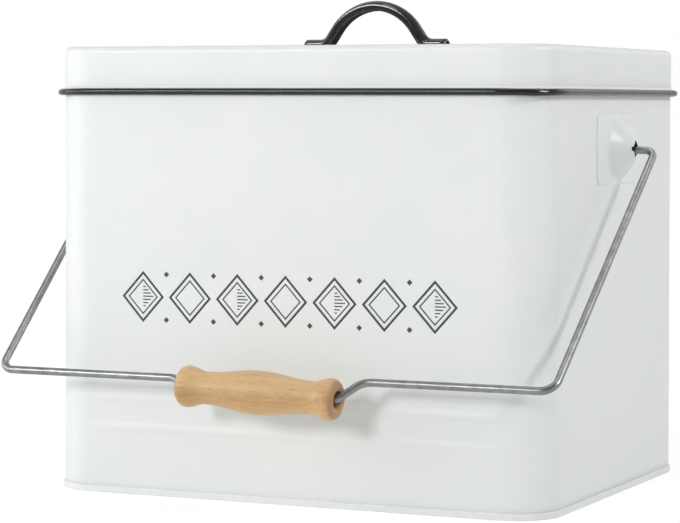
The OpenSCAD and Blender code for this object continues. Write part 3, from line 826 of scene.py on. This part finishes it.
def make_strap():
    """The section carried between the two lines, narrower towards both rounded ends."""
    lower, upper = strap_lines()
    section = strap_section()
    along = lengths_along(lower)
    from_end = np.minimum(along, along[-1] - along)
    round_r = 3.0
    narrow = 1 - 0.35 * np.clip(1 - from_end / round_r, 0, 1) ** 2
    across = narrow[:, None] * section[None, :, 0]
    share = section[None, :, 1, None]
    flat = lower[:, None, :] * (1 - share) + upper[:, None, :] * share
    points = np.stack([flat[..., 0] + strap_shift, across, flat[..., 1] + lid_top], -1)
    return surface("lid_arch", points, "lid", close_columns=True, cap_rows=True,
                   flip=True)


lid_arch = make_strap()
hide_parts("lid_handle")
dress(black, "lid_arch")

# %% [markdown]
# ## Ears
# Each ear is a small plate with a dome pressed out of it, and the wire goes through a lobed hole
# in the dome's tip. Rays from the hole to the plate's edge make the grid: out over the outer skin,
# round the edge, and back under the inner one. The height is a bell, level at its tip and at its
# foot, so that dome and plate flow into each other, and two small dimples show where the plate was
# welded. The inner skin gets the near-black moulded finish, as painted shade for the hollow under
# the dome.

# %% Domed ears
def ear_edge(theta, half_w, half_h, r):
    """Distance from the centre to a rounded rectangle along each ray."""
    c, s = np.abs(np.cos(theta)), np.abs(np.sin(theta))
    flat = np.minimum(half_w / np.maximum(c, 1e-9), half_h / np.maximum(s, 1e-9))
    in_corner = (flat * c > half_w - r) & (flat * s > half_h - r)
    along = c * (half_w - r) + s * (half_h - r)
    gap = (half_w - r) ** 2 + (half_h - r) ** 2 - r ** 2
    return np.where(in_corner, along + np.sqrt(np.maximum(along ** 2 - gap, 0)), flat)


def ear_height(a, b):
    """Height of the outer skin: a bell, steep half way and level at its tip and its foot, on the
    plate, less the dimples."""
    bell = np.clip(1 - (a * a + b * b) / dome_foot ** 2, 0, 1) ** 1.15
    height = plate_h + (dome_out - plate_h) * bell
    for side in (-1, 1):
        height = height - 0.3 * np.exp(-((a - side * 24.0) ** 2 + b ** 2) / 1.8 ** 2)
    return height


def make_ear(side):
    """Ear on the right (side 1) or the left (side -1): rays from the lobed hole to the edge."""
    steps, rounding = 44, 0.8
    theta = np.linspace(0, 2 * np.pi, 192, endpoint=False)
    edge = ear_edge(theta, ear_w / 2, ear_h / 2, 4.0)
    lobes = np.clip(np.cos(4 * theta), 0, 1) ** 0.6
    hole = dome_hole_r + (0.9 + 0.9 * np.cos(theta) ** 2) * lobes
    t = np.linspace(0, 1, steps) ** 1.2
    rho = hole[:, None] * (1 - t) + (edge[:, None] - rounding) * t
    rim_out = np.stack([edge - 0.25, edge], -1)
    rho_all = np.concatenate([rho, rim_out, rho[:, ::-1]], 1)
    a = rho_all * np.cos(theta)[:, None]
    b = rho_all * np.sin(theta)[:, None]
    outer = ear_height(a[:, :steps], b[:, :steps])
    rim = np.broadcast_to(np.array([plate_h * 0.6, 0.0]), (len(theta), 2))
    inner = np.maximum(ear_height(a[:, steps + 2:], b[:, steps + 2:]) - sheet_t, 0.0)
    lift = np.concatenate([outer, rim, inner], 1)
    x = side * (body_w / 2 + lift)
    points = np.stack([x, a, ear_z + b], -1)
    name = "ear_right" if side > 0 else "ear_left"
    piece = surface(name, points, "caddy", close_rows=True, close_columns=True,
                    flip=side > 0)
    dress(white, name)
    # Painted shade: the inner skin takes the near-black moulded finish, for the dark hollow under the
    # dome.
    piece.data.materials.append(moulded.material)
    column = np.arange(len(piece.data.polygons)) % points.shape[1]
    piece.data.polygons.foreach_set("material_index", (column > steps).astype(np.int32))
    return piece


ear_right, ear_left = make_ear(1), make_ear(-1)
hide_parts("ear_plate_right")
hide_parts("ear_plate_left")

# %% [markdown]
# ## Front print
# A band of plain diamonds is screened on the front in dark grey, each with an outline and every
# other one half hatched. Ink has almost no thickness, so each stroke is a very thin slab that
# stands a few hundredths of a millimetre off the coat and is sunk into it from behind.

# %% Diamond band
band_z, band_half_h, diamond_w, diamond_count = 93.0, 12.0, 22.0, 7
stroke = 1.05


def diamond_outline(cx, half_w, half_h, width):
    """Four quads between a diamond and a smaller one inside it."""
    shrink = 1 - width * math.hypot(half_w, half_h) / (half_w * half_h)
    tips = np.array([(half_w, 0), (0, half_h), (-half_w, 0), (0, -half_h)], float)
    outer = tips + np.array([cx, band_z])
    inner = tips * shrink + np.array([cx, band_z])
    after = [1, 2, 3, 0]
    return np.stack([outer, outer[after], inner[after], inner], 1)


def diamond_hatch(cx, half_w, half_h, width, pitch):
    """Level strokes that fill the right half of a diamond, each cut off at its edge."""
    z = np.arange(-half_h + 2 * pitch, half_h - pitch, pitch)
    reach = half_w * (1 - np.abs(z) / half_h) - 1.4
    z, reach = z[reach > 0.6], reach[reach > 0.6]
    left = np.full_like(z, cx)
    corner = [np.stack([left, band_z + z], -1), np.stack([cx + reach, band_z + z], -1),
              np.stack([cx + reach, band_z + z + width], -1),
              np.stack([left, band_z + z + width], -1)]
    return np.stack(corner, 1)


def slabs(name, quads, body):
    """One piece from many flat quads of (x, z), each a thin slab on the front wall."""
    front = np.concatenate([quads[..., :1], np.full((*quads.shape[:2], 1), -body_d / 2 - 0.03),
                            quads[..., 1:]], -1)
    back = front + np.array([0, 0.06, 0])
    points = np.concatenate([front, back], 1).reshape(-1, 3)
    one = np.array([[0, 1, 2, 3], [7, 6, 5, 4], [0, 4, 5, 1], [1, 5, 6, 2], [2, 6, 7, 3],
                    [3, 7, 4, 0]])
    faces = (one[None] + 8 * np.arange(len(quads))[:, None, None]).reshape(-1, 4)
    mesh = bpy.data.meshes.new(name)
    mesh.from_pydata((points * mm).tolist(), [], faces.tolist())
    piece = bpy.data.objects.new(name, mesh)
    bpy.context.scene.collection.objects.link(piece)
    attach(piece, body)
    print(name, "strokes", len(quads))
    return piece


def make_band():
    """Seven double diamonds in a row, every other one half hatched, with dots between them."""
    quads = []
    pitch = diamond_w + 2.6
    for i in range(diamond_count):
        cx = (i - (diamond_count - 1) / 2) * pitch
        quads.append(diamond_outline(cx, diamond_w / 2, band_half_h, stroke))
        quads.append(diamond_outline(cx, diamond_w / 2 - 3.2, band_half_h - 3.6, stroke * 0.6))
        if i % 2 == 0:
            quads.append(diamond_hatch(cx, diamond_w / 2 - 4.2, band_half_h - 4.4, 0.55, 1.5))
        if i:
            dot = cx - pitch / 2
            for lift in (-band_half_h + 1.4, band_half_h - 1.4):
                tips = np.array([(1.4, 0), (0, 1.4), (-1.4, 0), (0, -1.4)])
                quads.append((tips + np.array([dot, band_z + lift]))[None])
    return slabs("front_band", np.concatenate(quads), "caddy")


front_band = make_band()
dress(ink, "front_band")

# %% [markdown]
# ## Hardware
# Hinges, rivets, screws and the filter keep the frame's own meshes, which already have the right
# shape. They only need what they are made of.

# %% Finishes of the hardware
dress(white, "hinge_left_body_leaf", "hinge_left_lid_leaf", "hinge_right_body_leaf",
      "hinge_right_lid_leaf", "body_leaf_rivets", "lid_leaf_rivets", "filter_rivets")
dress(zinc, "hinge_left_pin", "hinge_right_pin", "handle_screws", "handle_washers",
      "lid_rim_wire")
dress(moulded, "filter_holder")
dress(felt, "carbon_filter")
print("hardware dressed")

# %% [markdown]
# ## Stage and light
# The photograph has no room in it: the caddy stands on white that runs up to white. The floor is a
# large pale sheet that, like a light table, mixes a glow into its own colour. The mix is strong
# for camera rays and far from the caddy, and weaker near it, where the caddy's shadow has to show.
# For the rays that light the caddy it is weak, so the floor lights it from below no more than
# white paper would.

# %% Floor
def make_floor():
    """Flat sheet of 8 by 8 m, whose glow grows from 0.2 to 1.5 m away from the middle."""
    t = np.linspace(-4000, 4000, 9)
    x, y = np.meshgrid(t, t, indexing="ij")
    grid = np.stack([x, y, np.zeros_like(x)], -1)
    mesh = bpy.data.meshes.new("floor")
    mesh.from_pydata((grid.reshape(-1, 3) * mm).tolist(), [],
                     grid_faces(9, 9, False, False).tolist())
    sheet = bpy.data.objects.new("floor", mesh)
    bpy.context.scene.collection.objects.link(sheet)
    finish = Finish("floor_paper", base_color=grey(0.8), roughness=0.9, specular_ior_level=0.0)
    glow = finish.node("ShaderNodeEmission", {}, {"Color": grey(1.0), "Strength": 1.09})
    far = finish.node("ShaderNodeMapRange", {},
                      {0: finish.distance(), 1: 0.2, 2: 1.5, 3: 0.8, 4: 1.0})
    seen = finish.light_path("Is Camera Ray") * 0.8
    mirrored = finish.light_path("Is Glossy Ray") * 0.3
    paper = Value(finish, finish.shader.outputs[0])
    mixed = finish.node("ShaderNodeMixShader", {},
                        {0: (seen + mirrored + 0.2) * far, 1: paper, 2: glow})
    finish.show(mixed, "Material Output")
    mesh.materials.append(finish.material)
    return sheet


floor = make_floor()
print("floor laid")

# %% [markdown]
# The caddy stands in a photographer's tent of thin white cloth. The tent glows evenly, but it is
# open towards the camera, so it is dimmer on that side: the dot product of a direction with the
# way to the camera says how much. The camera itself sees plain white past the floor's edge.

# %% Tent
world = bpy.data.worlds.new("tent")
bpy.context.scene.world = world
world.use_nodes = True
world.node_tree.nodes.remove(world.node_tree.nodes["Background"])
tent = Network(world.node_tree)
direction = tent.node("ShaderNodeTexCoord", output="Generated")
to_camera = tent.node("ShaderNodeVectorMath", {"operation": "DOT_PRODUCT"},
                      {0: direction, 1: (0.57, -0.82, 0.0)}, output=1)
cloth = tent.node("ShaderNodeBackground", {},
                  {"Color": grey(1.0), "Strength": 0.48 - to_camera * 0.3})
backdrop = tent.node("ShaderNodeBackground", {}, {"Color": grey(1.0), "Strength": 1.0})
tent.show(tent.node("ShaderNodeMixShader", {},
                    {0: tent.light_path("Is Camera Ray"), 1: cloth, 2: backdrop}),
          "World Output")
print("tent put up")

# %% [markdown]
# The key lamp stands low in front and throws the shadow of the wire and the grip back onto the
# front. A small lamp high on the right throws the arm's shadow along the side wall. Two wide, weak
# lamps fill the left and the right rear. Shiny things are lit by what they mirror, and that is set
# apart, as with a polarising sheet: the key is left out of reflections, and three lamps show in
# nothing else. The strip draws the line along crossbar, rim and handle, the top lamp lifts what
# faces up, and the spot makes the soft gleam on the right dome.

# %% Lamps
def soft_lamp(name, place, target, size, watts):
    """Rectangular area lamp at a place, turned to face a target, all in metres."""
    data = bpy.data.lights.new(name, "AREA")
    data.shape = "RECTANGLE"
    data.size, data.size_y = size
    data.energy = watts
    lamp = bpy.data.objects.new(name, data)
    back = np.array(place) - np.array(target)
    back /= np.linalg.norm(back)
    right = np.cross([0, 0, 1.0], back)
    right /= np.linalg.norm(right)
    axes = np.array([right, np.cross(back, right), back]).T
    lamp.matrix_world = Matrix.Translation(place) @ Matrix(axes.tolist()).to_4x4()
    bpy.context.scene.collection.objects.link(lamp)
    return lamp


lamp_target = (0.0, 0.0, 0.1)


def from_side(direction, distance):
    """Place at a distance from the lamps' target, in a direction."""
    way = np.array(direction) / np.linalg.norm(direction)
    return tuple((np.array(lamp_target) + way * distance).tolist())


key = soft_lamp("key", from_side((-0.1, -1.0, 0.27), 1.6), lamp_target, (0.3, 0.26), 7.2)
key.visible_glossy = False
soft_lamp("side", from_side((1.0, -0.16, 0.76), 1.5), lamp_target, (0.2, 0.2), 6.2)
soft_lamp("fill_left", from_side((-0.87, -0.5, 0.16), 1.05), lamp_target, (0.9, 0.8), 4.3)
soft_lamp("fill_right", from_side((0.64, 0.77, 0.52), 1.5), lamp_target, (1.2, 0.9), 2.6)
strip = soft_lamp("strip", from_side((-0.42, -0.85, 0.34), 1.5), lamp_target, (0.6, 0.12), 7)
top = soft_lamp("top", (-0.05, 0.0, 1.3), lamp_target, (0.6, 0.35), 2.5)
spot = soft_lamp("spot", from_side((0.9, -0.07, 0.44), 1.5), lamp_target, (0.16, 0.16), 6)
for sheen in (strip, top, spot):
    sheen.visible_diffuse = False
bpy.context.scene.view_settings.view_transform = "Standard"
print("lamps placed")
